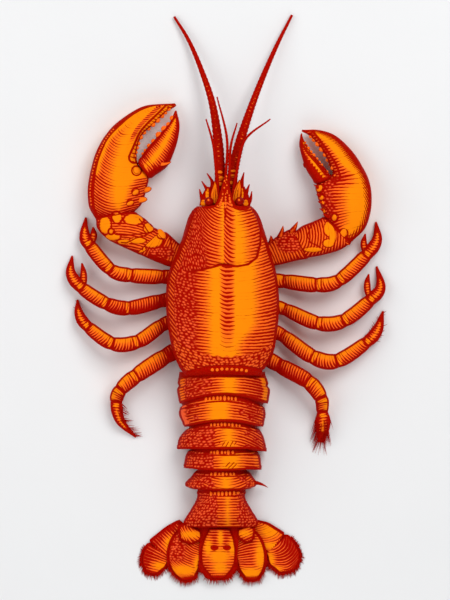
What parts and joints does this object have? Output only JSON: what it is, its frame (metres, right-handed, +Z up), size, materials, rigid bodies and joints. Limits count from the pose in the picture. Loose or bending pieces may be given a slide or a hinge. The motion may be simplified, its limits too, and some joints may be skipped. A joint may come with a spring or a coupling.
{
  "type": "lobster",
  "caption": "Whole cooked lobster lying flat on its belly, tail straight and fanned, claws curled forwards, legs and feelers spread.",
  "frame": {"origin": "middle of the lobster's bounding box, on the surface that it lies on", "axes": "+Y from the tail to the head, +X to the right of the lobster as seen from above, +Z up"},
  "size_m": [0.2053, 0.363, 0.0491],
  "materials": {
    "shell": "waxy gloss cooked shell, orange along the crown, deep red at the sides",
    "claw": "glossy orange cooked shell with red edges and pale teeth",
    "leg": "glossy orange-red cooked shell",
    "fan": "glossy orange-red shell with red hair fringe",
    "underside": "pale orange satin shell",
    "feeler": "deep red satin, ringed",
    "eye": "wet near-black"
  },
  "bodies": {
    "root": {"carapace": "shell", "underbody": "underside", "tail_ring_1": "shell", "tail_ring_2": "shell", "tail_ring_3": "shell", "tail_ring_4": "shell", "tail_ring_5": "shell", "tail_ring_6": "shell", "telson": "fan", "blade_base_left": "fan", "blade_base_right": "fan", "inner_blade_left": "fan", "inner_blade_right": "fan", "outer_blade_left": "fan", "outer_blade_right": "fan", "outer_tip_left": "fan", "outer_tip_right": "fan", "claw_left": "claw", "claw_right": "claw", "claw_finger_left": "claw", "claw_finger_right": "claw", "wrist_left": "claw", "wrist_right": "claw", "arm_left": "claw", "arm_right": "claw", "leg_left_1": "leg", "leg_left_2": "leg", "leg_left_3": "leg", "leg_left_4": "leg", "leg_right_1": "leg", "leg_right_2": "leg", "leg_right_3": "leg", "leg_right_4": "leg", "nip_left_1": "leg", "nip_left_2": "leg", "nip_right_1": "leg", "nip_right_2": "leg", "antenna_left": "feeler", "antenna_right": "feeler", "feeler_outer_left": "feeler", "feeler_inner_left": "feeler", "feeler_inner_right": "feeler", "feeler_outer_right": "feeler", "scale_left": "shell", "scale_right": "shell", "cheek_left": "shell", "cheek_right": "shell", "eye_left": "eye", "eye_right": "eye"}
  },
  "joints": []
}
